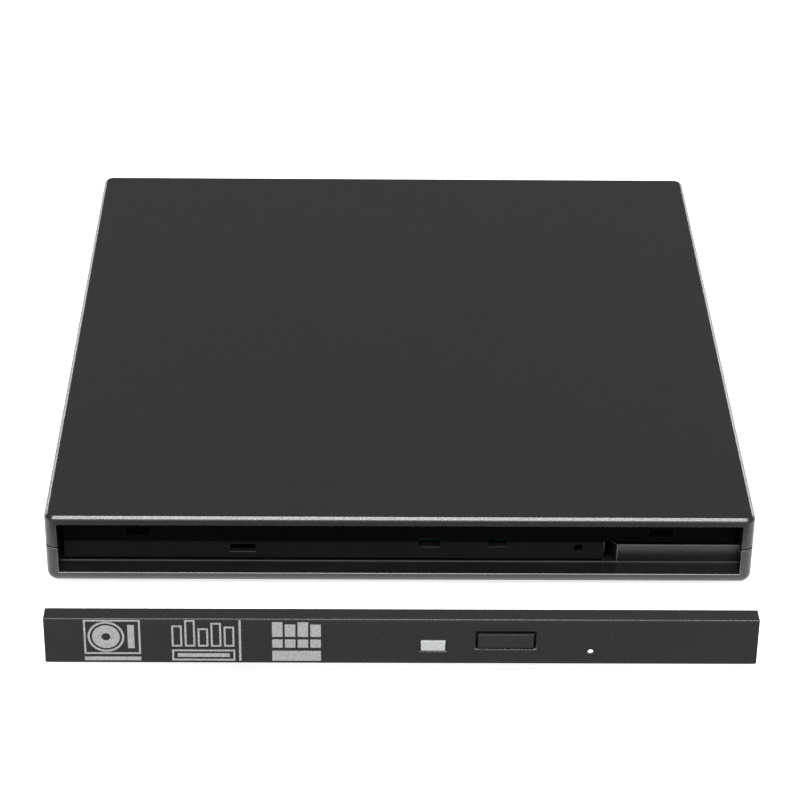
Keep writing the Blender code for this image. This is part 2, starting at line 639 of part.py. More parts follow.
def spindle():
    """Rotor with its hub, the rubber ring that the disc rests on, and three claws that spring in and out."""
    rotor = turned("turntable", [(0.0, 11.5), (6.4, 11.5), (HUB_RADIUS, 10.9), (HUB_RADIUS, 9.6),
                                 (ROTOR_RADIUS, 9.6), (ROTOR_RADIUS, 7.2), (11.8, 6.9), (0.0, 6.9)],
                   "cast_alloy", frame=SPINDLE, steps=36)
    turned("disc_ring", [(12.0, 10.2), (12.0, 9.9), (9.6, 9.9), (9.6, 10.2)], "rubber", frame=SPINDLE, steps=36)
    for index in range(CLAWS):
        turn = add_frame("claw_frame_" + str(index + 1), (0.0, 0.0, 0.0), math.tau * index / CLAWS)
        turn.parent = SPINDLE
        cut(rotor, block("claw_bay_" + str(index), (CLAW_IN - CLAW_TRAVEL - GAP, -1.5, 10.1),
                         (HUB_RADIUS + REACH, 1.5, 12.0), frame=turn))
        block("chuck_claw_" + str(index + 1), (CLAW_IN, -1.2, 10.4), (CLAW_OUT, 1.2, 11.2), "light_plastic",
              frame=turn, top=0.3)


def pickup():
    """Cast pickup on the two rods, its nut on the lead screw, and the lens in its holder."""
    body_half = 7.0
    body_top = ROD_Z + 1.3
    bore_start = LENS_START - body_half - REACH
    bore_end = LENS_START + body_half + REACH
    body = block("pickup_body", (LENS_START - body_half, -14.4, MECH_LOW_Z),
                 (LENS_START + body_half, 16.6, body_top), "cast_alloy", frame=TRAVERSE)
    tower_half = 6.0
    fuse(body, block("pickup_tower", (LENS_START - tower_half, -7.0, ROD_Z), (LENS_START + tower_half, 7.0, 7.8),
                     frame=TRAVERSE, corner=1.5))
    bearing_radius = ROD_RADIUS + 0.2
    for label, y in (("main", MAIN_ROD_Y), ("sub", SUB_ROD_Y)):
        cut(body, rod("bearing_" + label, (bore_start, y, ROD_Z), (bore_end, y, ROD_Z), bearing_radius,
                      frame=TRAVERSE))
    nut_half = 3.0
    nut_bore_radius = ROD_RADIUS + 0.25
    nut = block("drive_nut", (LENS_START - nut_half, 16.9, MECH_LOW_Z), (LENS_START + nut_half, 21.4, body_top),
                "light_plastic", frame=TRAVERSE)
    cut(nut, rod("nut_bore", (bore_start, SCREW_ROD_Y, ROD_Z), (bore_end, SCREW_ROD_Y, ROD_Z), nut_bore_radius,
                 frame=TRAVERSE))
    holder_low = 8.3
    holder_high = 8.8
    holder = block("lens_holder", (LENS_START - 4.0, -4.5, holder_low), (LENS_START + 4.0, 4.5, holder_high),
                   "tray_plastic", frame=TRAVERSE, corner=1.0)
    cut(holder, rod("lens_seat", (LENS_START, 0.0, holder_low - REACH), (LENS_START, 0.0, holder_high + REACH), 1.95,
                    frame=TRAVERSE))
    turned("lens", [(0.0, 9.1), (0.6, 9.05), (1.2, 8.9), (1.7, 8.6), (1.75, 8.35), (0.0, 8.35)], "clear_lens",
           frame=TRAVERSE, centre=(LENS_START, 0.0))


def tray_electronics():
    """Board in the tray's front right, with its chip, eject switch, status lamp, latch solenoid and pivot."""
    board_back = -31.0
    board = plate("tray_board", [(-13.0, INNER_FRONT_Y), (33.0, INNER_FRONT_Y), (33.0, board_back),
                                 (13.0, board_back)], TRAY_BOARD_LOW_Z, TRAY_BOARD_HIGH_Z, "board_green")
    block("controller_chip", (3.0, -57.0, ON_BOARD_Z), (12.0, -48.0, 6.8), "chip_black")
    switch = block("eject_switch", (BUTTON_X - 2.4, -64.4, ON_BOARD_Z), (BUTTON_X + 2.4, -61.2, ON_BOARD_TOP_Z),
                   "bright_steel")
    plunger_low = Vector((BUTTON_X - 1.0, -65.3, 6.3))
    plunger_high = Vector((BUTTON_X + 1.0, -63.2, 6.9))
    room = Vector((GAP, SWITCH_TRAVEL + GAP, GAP))
    cut(switch, block("plunger_bore", plunger_low - room, plunger_high + room))
    block("switch_plunger", plunger_low, plunger_high, "light_plastic")
    block("status_led", (WINDOW_X - 1.15, -65.3, ON_BOARD_Z), (WINDOW_X + 1.15, -63.3, ON_BOARD_TOP_Z),
          "window_plastic")
    solenoid = block("latch_solenoid", (19.6, -40.0, ON_BOARD_Z), (26.6, -32.0, 7.5), "dark_steel")
    cut(solenoid, block("solenoid_bore", (20.6, PLUNGER_Y - PLUNGER_HALF - GAP, PLUNGER_LOW_Z - GAP),
                        (LATCH_X, PLUNGER_Y + PLUNGER_HALF + GAP, PLUNGER_HIGH_Z + GAP)))
    block("solenoid_plunger", (22.0, PLUNGER_Y - PLUNGER_HALF, PLUNGER_LOW_Z),
          (28.6, PLUNGER_Y + PLUNGER_HALF, PLUNGER_HIGH_Z), "bright_steel")
    cut(board, rod("pivot_hole", (LATCH_X, LATCH_Y, REACH), (LATCH_X, LATCH_Y, CASE_H), 1.1))
    turned("latch_pivot", [(0.0, 7.6), (0.8, 7.6), (0.8, 4.4), (1.6, 4.4), (1.6, 4.1), (0.0, 4.1)], "bright_steel",
           centre=(LATCH_X, LATCH_Y), steps=16)


def latch_lever():
    """Flat lever whose tooth swings behind the latch post."""
    x = LATCH_X
    y = LATCH_Y
    lever = plate("latch_lever", [(x - 1.9, y + 7.0), (x - 1.9, y - 10.9), (x + 4.0, y - 10.9), (x + 4.0, y - 9.4),
                                  (x + 1.6, y - 8.6), (x + 1.6, y - 1.8), (x + 1.9, y), (x + 1.6, y + 7.0)],
                  6.1, 7.0, "light_plastic")
    cut(lever, rod("lever_bore", (x, y, REACH), (x, y, CASE_H), 1.0))


def faceplate():
    """Thin bezel with a back skirt, clips, and openings for the button, the light pipe and the pinhole."""
    half = FACE_W / 2
    back = FACE_Y + FACE_THICK
    skirt_back = back + FACE_SKIRT_DEPTH
    plate_piece = block("faceplate", (-half, FACE_Y, FACE_LOW_Z), (half, skirt_back, FACE_HIGH_Z), "case_plastic")
    cut(plate_piece, block("face_hollow", (FACE_SKIRT - half, back, FACE_LOW_Z + FACE_SKIRT),
                           (half - FACE_SKIRT, skirt_back + REACH, FACE_HIGH_Z - FACE_SKIRT)))
    button_half = BUTTON_W / 2 + BUTTON_GAP
    button_tall = BUTTON_H / 2 + BUTTON_GAP
    window_half = WINDOW_W / 2 + GAP / 2
    window_tall = WINDOW_H / 2 + GAP / 2
    front = FACE_Y - REACH
    cut(plate_piece,
        block("button_opening", (BUTTON_X - button_half, front, BUTTON_Z - button_tall),
              (BUTTON_X + button_half, back + REACH, BUTTON_Z + button_tall)),
        block("window_opening", (WINDOW_X - window_half, front, WINDOW_Z - window_tall),
              (WINDOW_X + window_half, back + REACH, WINDOW_Z + window_tall)),
        rod("pinhole", (PINHOLE_X, front, PINHOLE_Z), (PINHOLE_X, back + REACH, PINHOLE_Z), PINHOLE_RADIUS),
        rod("pinhole_well", (PINHOLE_X, FACE_Y + PINHOLE_LAND, PINHOLE_Z), (PINHOLE_X, back + REACH, PINHOLE_Z),
            PINHOLE_WELL_RADIUS),
        block("well_notch", (PINHOLE_X - PINHOLE_WELL_RADIUS, back, FACE_LOW_Z - REACH),
              (PINHOLE_X + PINHOLE_WELL_RADIUS, skirt_back + REACH, PINHOLE_Z)))
    clip_end = SEAT_Y - FACE_GAP + CLIP_DEPTH
    barb = 1.1
    root = back - 0.6
    for side, sign in sides():
        x = sign * CLIP_X
        fuse(plate_piece,
             block("clip_" + side, (x - CLIP_HALF, root, CLIP_LOW_Z), (x + CLIP_HALF, clip_end, CLIP_HIGH_Z)),
             block("clip_barb_" + side, (x - CLIP_HALF, clip_end - barb, CLIP_LOW_Z + GAP),
                   (x + CLIP_HALF, clip_end, BARB_HIGH_Z)))
    fuse(plate_piece, block("low_clip", (LOW_CLIP_X - CLIP_HALF, root, LOW_CLIP_LOW_Z),
                            (LOW_CLIP_X + CLIP_HALF, clip_end, LOW_CLIP_HIGH_Z)))


def light_pipe():
    """Translucent window with a stem that carries the status lamp's light."""
    half = WINDOW_W / 2
    tall = WINDOW_H / 2
    flange = 0.6
    back = FACE_Y + FACE_THICK
    pipe = block("light_pipe", (WINDOW_X - half, FACE_Y, WINDOW_Z - tall),
                 (WINDOW_X + half, back + 1.6, WINDOW_Z + tall), "window_plastic")
    fuse(pipe, block("pipe_flange", (WINDOW_X - half - flange, back + GAP, WINDOW_Z - tall - flange),
                     (WINDOW_X + half + flange, back + 0.9, WINDOW_Z + tall + flange)))


def eject_button():
    """Button cap with a retaining flange behind the plate and a stem towards the switch."""
    half = BUTTON_W / 2
    tall = BUTTON_H / 2
    flange = 1.0
    proud = 0.2
    back = FACE_Y + FACE_THICK
    cap = block("eject_button", (BUTTON_X - half, FACE_Y - proud, BUTTON_Z - tall),
                (BUTTON_X + half, back + 0.6, BUTTON_Z + tall), "case_plastic")
    fuse(cap,
         block("button_flange", (BUTTON_X - half - flange, back + GAP, BUTTON_Z - tall - flange),
               (BUTTON_X + half + flange, back + 0.9, BUTTON_Z + tall + flange)),
         block("button_stem", (BUTTON_X - 1.3, back + 0.4, 6.4),
               (BUTTON_X + 1.3, SEAT_Y - FACE_GAP + STEM_DEPTH, 7.1)))


TRAVERSE = add_frame("traverse_frame", (DISC_X, DISC_Y, 0.0), TRAVERSE_ANGLE)
SPINDLE = add_frame("spindle_axis", (DISC_X, DISC_Y, 0.0))

upper_shell()
lower_shell()
feet()
case_screws()
bridge_electronics()
drive_box()
rails()
tray()
tray_cover()
traverse()
spindle()
pickup()
tray_electronics()
latch_lever()
faceplate()
light_pipe()
eject_button()
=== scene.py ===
"""Looks of the external optical drive: softened moulded edges, inner detail, and a material for each finish.

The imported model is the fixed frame, in metres: +X right, the front faces -Y, +Z up.
Lengths of added details, and names that end in _MM or _mm, are in millimetres, turned into metres with MM.
"""
import json
import math

import bmesh
import bpy
from mathutils import Matrix, Vector


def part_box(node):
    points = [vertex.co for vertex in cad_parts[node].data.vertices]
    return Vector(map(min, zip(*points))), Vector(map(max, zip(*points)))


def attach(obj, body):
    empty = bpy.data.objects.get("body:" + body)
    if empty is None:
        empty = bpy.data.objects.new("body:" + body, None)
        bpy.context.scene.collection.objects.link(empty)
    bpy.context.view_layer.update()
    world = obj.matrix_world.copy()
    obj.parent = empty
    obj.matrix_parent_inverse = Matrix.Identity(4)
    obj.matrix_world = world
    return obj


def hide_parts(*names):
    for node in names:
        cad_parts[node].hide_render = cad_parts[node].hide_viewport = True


MM = 0.001
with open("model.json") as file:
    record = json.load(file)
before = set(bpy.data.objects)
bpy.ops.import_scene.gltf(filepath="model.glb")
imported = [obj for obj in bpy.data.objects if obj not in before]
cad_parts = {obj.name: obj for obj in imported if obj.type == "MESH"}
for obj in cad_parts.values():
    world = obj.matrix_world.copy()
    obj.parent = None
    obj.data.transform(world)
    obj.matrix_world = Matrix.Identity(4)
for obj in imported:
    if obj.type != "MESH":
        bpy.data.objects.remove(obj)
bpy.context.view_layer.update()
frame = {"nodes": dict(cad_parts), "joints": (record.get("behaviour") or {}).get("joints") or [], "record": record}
NODES = frame["nodes"]
BODY_OF = {node: body for body, nodes in frame["record"]["behaviour"]["bodies"].items() for node in nodes}
SLOT_OF = {part["node"]: part["material_slot"] for part in frame["record"]["subparts"]}

# Places worked out from the frame
SPINDLE_LOW, SPINDLE_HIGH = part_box("turntable")
SPINDLE = (SPINDLE_LOW + SPINDLE_HIGH) / 2
TRAVEL = next(Vector(joint["axis"]) for joint in frame["joints"] if joint["name"] == "pickup_slide")
TRAVERSE = (Matrix.Translation((SPINDLE.x, SPINDLE.y, 0.0))
            @ Matrix.Rotation(math.atan2(TRAVEL.y, TRAVEL.x), 4, 'Z'))
CASE_FRONT_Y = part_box("lower_shell")[0].y


# ---------------------------------------------------------------- node material helpers

def grey(level):
    """The same level in red, green and blue."""
    return level, level, level


def tint(colour, factor):
    """The colour made darker or brighter, but no brighter than white."""
    return [min(1.0, channel * factor) for channel in colour]


def rgba(colour):
    """The colour with full alpha; a socket stays as it is."""
    return colour if isinstance(colour, bpy.types.NodeSocket) else (*colour, 1.0)


class Shader:
    """A material under construction: its tree, its Principled BSDF, and short ways to add and join nodes."""

    def __init__(self, name):
        self.material = bpy.data.materials.new(name)
        self.material.use_nodes = True
        self.tree = self.material.node_tree
        self.surface = self.tree.nodes["Principled BSDF"]
        self.place = self.tree.nodes.new("ShaderNodeTexCoord").outputs["Object"]

    def add(self, kind, **inputs):
        """Add a node and set its inputs; a socket given as a value is joined up."""
        node = self.tree.nodes.new("ShaderNode" + kind)
        for label, value in inputs.items():
            self.set(node.inputs[label.replace("_", " ")], value)
        return node

    def set(self, socket, value):
        if isinstance(value, bpy.types.NodeSocket):
            self.tree.links.new(value, socket)
        else:
            socket.default_value = value

    def stretch(self, x, y, z):
        """The object's coordinates, multiplied along each axis."""
        node = self.tree.nodes.new("ShaderNodeMapping")
        self.tree.links.new(self.place, node.inputs["Vector"])
        node.inputs["Scale"].default_value = (x, y, z)
        return node.outputs["Vector"]

    def noise(self, size_mm=None, detail=2.0, rough=0.5, vector=None):
        """Noise with features about size_mm across, or as large as the given vector makes them."""
        scale = 1.0 / (size_mm * MM) if size_mm else 1.0
        node = self.add("TexNoise", Vector=vector or self.place, Scale=scale, Detail=detail, Roughness=rough)
        return node.outputs["Fac"]

    def cells(self, size_mm):
        """Distance to the nearest of points that are scattered about size_mm apart."""
        return self.add("TexVoronoi", Vector=self.place, Scale=1.0 / (size_mm * MM)).outputs["Distance"]

    def remap(self, value, low, high, to_low, to_high):
        """Spread the range low to high over to_low to to_high, and hold the value outside it."""
        node = self.add("MapRange", Value=value, From_Min=low, From_Max=high, To_Min=to_low, To_Max=to_high)
        return node.outputs["Result"]

    def maths(self, operation, a, b=0.0):
        node = self.tree.nodes.new("ShaderNodeMath")
        node.operation = operation
        self.set(node.inputs[0], a)
        self.set(node.inputs[1], b)
        return node.outputs[0]

    def mix(self, factor, first, second):
        """Blend two colours, each given as (r, g, b) or as a socket."""
        node = self.tree.nodes.new("ShaderNodeMix")
        node.data_type = 'RGBA'
        self.set(node.inputs["Factor"], factor)
        for socket, value in ((node.inputs[6], first), (node.inputs[7], second)):
            self.set(socket, rgba(value))
        return node.outputs[2]

    def worn_edge(self):
        """1 on sharp outer edges and 0 elsewhere."""
        geometry = self.tree.nodes.new("ShaderNodeNewGeometry")
        return self.remap(geometry.outputs["Pointiness"], 0.52, 0.60, 0.0, 1.0)

    def bump(self, height, depth_mm, after=None):
        """A normal for relief of depth_mm, on top of another bump's normal where one is given."""
        node = self.add("Bump", Height=height, Distance=depth_mm * MM, Strength=1.0)
        if after:
            self.tree.links.new(after, node.inputs["Normal"])
        return node.outputs["Normal"]

    def finish(self, colour, roughness, metallic=0.0, normal=None, **others):
        """Join everything to the surface, and return the material."""
        surface = self.surface
        self.set(surface.inputs["Base Color"], rgba(colour))
        self.set(surface.inputs["Roughness"], roughness)
        self.set(surface.inputs["Metallic"], metallic)
        if normal:
            self.tree.links.new(normal, surface.inputs["Normal"])
        for label, value in others.items():
            self.set(surface.inputs[label.replace("_", " ")], value)
        return self.material


# ---------------------------------------------------------------- materials

def textured_plastic(name, colour, lighter, rough, specular):
    """Spark-eroded mould texture: small pits and grains, with slightly paler grain tops and edges."""
    grain_mm = 0.32
    depth_mm = 0.012
    s = Shader(name)
    grain = s.noise(grain_mm, detail=3.0, rough=0.6)
    pits = s.cells(grain_mm * 1.3)
    tone = s.remap(grain, 0.35, 0.72, 0.0, 1.0)
    cloud = s.noise(30.0, detail=2.0)
    base = s.mix(tone, colour, lighter)
    base = s.mix(s.remap(cloud, 0.3, 0.7, 0.0, 0.12), base, lighter)
    base = s.mix(s.maths('MULTIPLY', s.worn_edge(), 0.25), base, tint(lighter, 1.8))
    roughness = s.remap(grain, 0.3, 0.7, rough + 0.07, rough - 0.07)
    normal = s.bump(grain, depth_mm, after=s.bump(pits, depth_mm * 0.7))
    return s.finish(base, roughness, normal=normal, Specular_IOR_Level=specular)


def satin_plastic(name, colour, rough, specular=0.4):
    """Plain moulding with faint flow lines and a fine orange-peel."""
    s = Shader(name)
    peel = s.noise(0.18)
    flow = s.noise(detail=3.0, vector=s.stretch(40.0, 400.0, 400.0))
    base = s.mix(s.remap(flow, 0.35, 0.65, 0.0, 0.35), colour, tint(colour, 1.35))
    roughness = s.remap(flow, 0.3, 0.7, rough - 0.05, rough + 0.08)
    return s.finish(base, roughness, normal=s.bump(peel, 0.003), Specular_IOR_Level=specular)


def shaded_front(name):
    """The tray's front wall: a matt lower band, and above it painted shade, near black, that stands in for the
    shadow of the case's upper lip.
    """
    band_top_mm = 6.6
    painted_shade_from_mm = 7.0
    s = Shader(name)
    split = s.add("SeparateXYZ", Vector=s.place)
    # Painted shade: above the lower band the colour fades to near black.
    upper = s.remap(split.outputs["Z"], band_top_mm * MM, painted_shade_from_mm * MM, 0.0, 1.0)
    grain = s.noise(0.3, detail=2.0)
    lower = s.mix(s.remap(grain, 0.3, 0.7, 0.0, 1.0), grey(0.0065), grey(0.0095))
    roughness = s.remap(grain, 0.3, 0.7, 0.6, 0.75)
    return s.finish(s.mix(upper, lower, grey(0.0012)), roughness, normal=s.bump(grain, 0.004),
                    Specular_IOR_Level=0.03)


def rubber(name):
    """Soft black rubber, dusty in patches."""
    s = Shader(name)
    grain = s.noise(0.25, detail=4.0, rough=0.7)
    dust = s.noise(4.0, detail=5.0, rough=0.65)
    base = s.mix(s.remap(dust, 0.45, 0.75, 0.0, 0.5), grey(0.016), (0.05, 0.048, 0.045))
    roughness = s.remap(dust, 0.3, 0.7, 0.75, 0.92)
    return s.finish(base, roughness, normal=s.bump(grain, 0.02), Specular_IOR_Level=0.25)


def drawn_metal(name, colour, rough):
    """Rolled or ground metal: fine lines along Y, faint smudges and brighter edges."""
    fine = 9000.0
    coarse = 120.0
    s = Shader(name)
    lines = s.noise(vector=s.stretch(fine, coarse, fine))
    smudge = s.noise(14.0, detail=4.0, rough=0.6)
    base = s.mix(s.remap(lines, 0.3, 0.7, 0.0, 1.0), tint(colour, 0.86), colour)
    base = s.mix(s.remap(smudge, 0.45, 0.8, 0.0, 0.3), base, tint(colour, 0.7))
    base = s.mix(s.maths('MULTIPLY', s.worn_edge(), 0.5), base, tint(colour, 1.4))
    blur = s.remap(smudge, 0.3, 0.7, rough - 0.06, rough + 0.12)
    return s.finish(base, blur, metallic=1.0, normal=s.bump(lines, 0.002))


def cast_metal(name, colour, rough):
    """Die-cast alloy: grainy skin with grey clouding."""
    s = Shader(name)
    skin = s.noise(0.35, detail=5.0, rough=0.65)
    cloud = s.noise(5.0, detail=4.0)
    base = s.mix(s.remap(cloud, 0.35, 0.7, 0.0, 1.0), tint(colour, 0.75), colour)
    base = s.mix(s.maths('MULTIPLY', s.worn_edge(), 0.6), base, tint(colour, 1.5))
    return s.finish(base, s.remap(skin, 0.3, 0.7, rough - 0.08, rough + 0.12), metallic=0.9,
                    normal=s.bump(skin, 0.012))


def circuit_board(name):
    """Green solder mask over copper tracks, with bright round pads."""
    s = Shader(name)
    tracks = s.add("TexBrick", Vector=s.place, Scale=260.0, Mortar_Size=0.012, Mortar_Smooth=0.2)
    tracks.offset = 0.37
    tracks.squash = 1.6
    copper = s.remap(tracks.outputs["Fac"], 0.2, 0.8, 0.0, 1.0)
    pads = s.remap(s.cells(2.3), 0.10, 0.13, 1.0, 0.0)
    weave = s.noise(0.5, detail=2.0)
    mask = s.mix(s.remap(weave, 0.3, 0.7, 0.0, 1.0), (0.006, 0.060, 0.026), (0.010, 0.085, 0.036))
    mask = s.mix(copper, mask, (0.035, 0.20, 0.085))
    base = s.mix(pads, mask, (0.75, 0.70, 0.55))
    height = s.maths('ADD', s.maths('MULTIPLY', copper, 0.6), pads)
    return s.finish(base, s.remap(pads, 0.0, 1.0, 0.32, 0.22), metallic=pads, normal=s.bump(height, 0.03))


def chip_epoxy(name):
    """Matt moulding compound with a fine grain."""
    s = Shader(name)
    grain = s.noise(0.12, detail=3.0, rough=0.7)
    base = s.mix(s.remap(grain, 0.35, 0.7, 0.0, 1.0), (0.012, 0.012, 0.013), (0.032, 0.032, 0.034))
    return s.finish(base, s.remap(grain, 0.3, 0.7, 0.45, 0.6), normal=s.bump(grain, 0.006))


def amber_film(name):
    """Polyimide ribbon with copper tracks running along Y."""
    s = Shader(name)
    wave = s.add("TexWave", Vector=s.place, Scale=330.0)
    wave.bands_direction = 'X'
    track = s.remap(wave.outputs["Fac"], 0.45, 0.60, 0.0, 1.0)
    base = s.mix(track, (0.42, 0.16, 0.025), (0.70, 0.36, 0.10))
    return s.finish(base, s.remap(s.noise(3.0), 0.3, 0.7, 0.22, 0.38), normal=s.bump(track, 0.02))


def lens_glass(name):
    """Coated objective lens: blue-violet sheen that shifts towards the rim."""
    s = Shader(name)
    facing = s.add("LayerWeight", Blend=0.35).outputs["Facing"]
    sheen = s.mix(facing, (0.05, 0.10, 0.32), (0.42, 0.16, 0.50))
    dust = s.noise(0.4, detail=3.0)
    return s.finish(sheen, s.remap(dust, 0.4, 0.8, 0.03, 0.10), Coat_Weight=1.0, Coat_Roughness=0.03)


def window_plastic(name):
    """Milky light-pipe plastic with a faint diffusing grain."""
    s = Shader(name)
    grain = s.noise(0.5, detail=2.0)
    base = s.mix(s.remap(grain, 0.35, 0.65, 0.0, 1.0), (0.44, 0.45, 0.44), (0.48, 0.49, 0.48))
    return s.finish(base, s.remap(grain, 0.3, 0.7, 0.3, 0.36), normal=s.bump(grain, 0.001),
                    Subsurface_Weight=0.15, Subsurface_Scale=0.0005)


def print_ink(name):
    """Pad-printed grey ink, thin in places so that the texture under it shows."""
    s = Shader(name)
    grain = s.noise(0.20, detail=3.0)
    base = s.mix(s.remap(grain, 0.35, 0.6, 0.0, 1.0), grey(0.20), grey(0.42))
    return s.finish(base, s.remap(grain, 0.3, 0.7, 0.45, 0.6), normal=s.bump(grain, 0.01))


def gold(name):
    """Thin gold plating, a little paler where it is worn."""
    s = Shader(name)
    wear = s.noise(0.6, detail=3.0)
    base = s.mix(s.remap(wear, 0.4, 0.7, 0.0, 1.0), (0.72, 0.48, 0.16), (0.85, 0.62, 0.26))
    return s.finish(base, s.remap(wear, 0.3, 0.7, 0.2, 0.34), metallic=1.0, normal=s.bump(wear, 0.004))


MATERIALS = {
    "case_plastic": textured_plastic("case_plastic", (0.0085, 0.0085, 0.0087), (0.0155, 0.0155, 0.0158),
                                     rough=0.28, specular=0.5),
    "tray_plastic": satin_plastic("tray_plastic", (0.0080, 0.0080, 0.0083), 0.45, specular=0.25),
    # The tray's front wall, with painted shade over its upper part
    "tray_front_painted_shade": shaded_front("tray_front_painted_shade"),
    "bay_plastic": satin_plastic("bay_plastic", (0.0065, 0.0065, 0.0067), 0.24, specular=0.5),
    # Paler colour for the narrow edge faces in the bay: a painted highlight
    "painted_edge_highlight": satin_plastic("painted_edge_highlight", (0.085, 0.085, 0.087), 0.35, specular=0.5),
    "light_plastic": satin_plastic("light_plastic", (0.60, 0.59, 0.55), 0.42),
    "window_plastic": window_plastic("window_plastic"),
    "rubber": rubber("rubber"),
    "sheet_steel": drawn_metal("sheet_steel", (0.56, 0.56, 0.55), 0.34),
    "bright_steel": drawn_metal("bright_steel", (0.72, 0.72, 0.71), 0.24),
    "dark_steel": drawn_metal("dark_steel", (0.085, 0.085, 0.09), 0.38),
    "cast_alloy": cast_metal("cast_alloy", (0.48, 0.48, 0.47), 0.42),
    "board_green": circuit_board("board_green"),
    "chip_black": chip_epoxy("chip_black"),
    "amber_film": amber_film("amber_film"),
    "clear_lens": lens_glass("clear_lens"),
    "print_ink": print_ink("print_ink"),
    "gold": gold("gold"),
    "copper": drawn_metal("copper", (0.72, 0.34, 0.18), 0.32),
}


# ---------------------------------------------------------------- mesh helpers

NARROW_MM = 0.06            # rounding of edges beside small steps and holes
NARROW_FACE_MM = 0.1        # largest ratio of area to perimeter for a face that counts as narrow
ROOM_PER_WIDTH = 2.1        # an edge is rounded only where it and its neighbours are this many widths long
CAD_WELD_MM = 0.001         # corners of the CAD mesh closer than this are one
WELD_MM = 0.003             # and so are corners this close after a rounding
FLAT_WITHIN = math.radians(0.5)
ROUNDED_ABOVE = math.radians(40.0)
CREASE_ABOVE = math.radians(38.0)
DETAIL_CREASE_ABOVE = math.radians(35.0)


def dress(piece, finish):
    """Give a whole piece one finish."""
    piece.data.materials.clear()
    piece.data.materials.append(MATERIALS[finish])


def add_finish(piece, finish):
    """Give a piece one more finish, and return the index for the faces that take it."""
    piece.data.materials.append(MATERIALS[finish])
    return len(piece.data.materials) - 1


def mount(name, bm, finish, body, place=None):
    """Turn a bmesh, made in millimetres, into a piece that rides on a body."""
    mesh = bpy.data.meshes.new(name)
    bmesh.ops.scale(bm, vec=(MM, MM, MM), verts=bm.verts)
    if place:
        bmesh.ops.transform(bm, matrix=place, verts=bm.verts)
    bm.to_mesh(mesh)
    bm.free()
    mesh.shade_smooth()
    mesh.set_sharp_from_angle(angle=DETAIL_CREASE_ABOVE)
    piece = bpy.data.objects.new(name, mesh)
    bpy.context.scene.collection.objects.link(piece)
    dress(piece, finish)
    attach(piece, body)


def box_mesh(bm, low, high, radius=0.0):
    """Add a box to bm, with rounded edges where a radius is given."""
    low = Vector(low)
    high = Vector(high)
    made = bmesh.ops.create_cube(bm, size=1.0)["verts"]
    bmesh.ops.scale(bm, vec=high - low, verts=made)
    bmesh.ops.translate(bm, vec=(low + high) / 2, verts=made)
    if radius:
        edges = list(dict.fromkeys(edge for vert in made for edge in vert.link_edges))
        bmesh.ops.bevel(bm, geom=edges, offset=radius, segments=2, profile=0.5, affect='EDGES')


def mirrored_boxes(bm, along, across, upward, radius=0.0):
    """Add a box and its mirror image at the other side of the y = 0 plane, each range as (low, high)."""
    for sign in (-1, 1):
        near, far = sorted((sign * across[0], sign * across[1]))
        box_mesh(bm, (along[0], near, upward[0]), (along[1], far, upward[1]), radius)


def ring_mesh(bm, profile, centre=(0.0, 0.0), steps=48):
    """Add a turned shape to bm: a closed loop of (radius, height) points spun about the upright axis."""
    old_verts = set(bm.verts)
    verts = [bm.verts.new((radius, 0.0, height)) for radius, height in profile]
    edges = [bm.edges.new((verts[i], verts[(i + 1) % len(verts)])) for i in range(len(verts))]
    bmesh.ops.spin(bm, geom=verts + edges, cent=(0.0, 0.0, 0.0), axis=(0.0, 0.0, 1.0), angle=math.tau,
                   steps=steps, use_merge=True)
    made = [vert for vert in bm.verts if vert not in old_verts]
    bmesh.ops.translate(bm, vec=(*centre, 0.0), verts=made)
    faces = [face for face in bm.faces if face.verts[0] not in old_verts]
    bmesh.ops.recalc_face_normals(bm, faces=faces)


def room(edge):
    """Length of the shortest edge that meets this one, or its own: what a rounding has to fit into."""
    return min(near.calc_length() for vert in edge.verts for near in vert.link_edges)


def is_narrow(face):
    """True for roundings and small steps: long faces that are less wide than twice NARROW_FACE_MM."""
    return face.calc_area() < NARROW_FACE_MM * MM * face.calc_perimeter()


def shade(bm):
    """Shade smoothly, but keep creases, and the borders of the narrow roundings, sharp: flats stay flat."""
    narrow = {face for face in bm.faces if is_narrow(face)}
    for face in bm.faces:
        face.smooth = True
    for edge in bm.edges:
        border = len({face in narrow for face in edge.link_faces}) == 2
        edge.smooth = not border and edge.calc_face_angle(math.pi) < CREASE_ABOVE


def soften(node, width_mm):
    """Stand a copy of a CAD node in its place, with its hard outer edges rounded by width_mm.

    Edges beside small steps and holes get a narrow rounding, and the smallest stay as they are.
    """
    mesh = NODES[node].data.copy()
    mesh.name = node + "_soft"
    bm = bmesh.new()
    bm.from_mesh(mesh)
    bmesh.ops.remove_doubles(bm, verts=bm.verts, dist=CAD_WELD_MM * MM)
    bmesh.ops.dissolve_limit(bm, angle_limit=FLAT_WITHIN, verts=bm.verts, edges=bm.edges)
    for width in (width_mm * MM, NARROW_MM * MM):
        hard = [edge for edge in bm.edges if edge.is_manifold and edge.is_convex
                and edge.calc_face_angle(0.0) > ROUNDED_ABOVE and room(edge) > ROOM_PER_WIDTH * width]
        bmesh.ops.bevel(bm, geom=hard, offset=width, segments=2, profile=0.5, affect='EDGES')
        bmesh.ops.remove_doubles(bm, verts=bm.verts, dist=WELD_MM * MM)
    shade(bm)
    bm.to_mesh(mesh)
    bm.free()
    piece = bpy.data.objects.new(node + "_fine", mesh)
    bpy.context.scene.collection.objects.link(piece)
    piece.modifiers.new("Face weighting", 'WEIGHTED_NORMAL').keep_sharp = True
    dress(piece, SLOT_OF[node])
    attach(piece, BODY_OF[node])
    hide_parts(node)
    return piece


# ---------------------------------------------------------------- pieces

LEDGE_DEPTH_MM = 4.1        # from the case's front to the small step behind the ledge
STEP_TOP_MM = 2.5
SKIN_MM = 1.3               # faces that lie deeper in the case than this take the bay finish

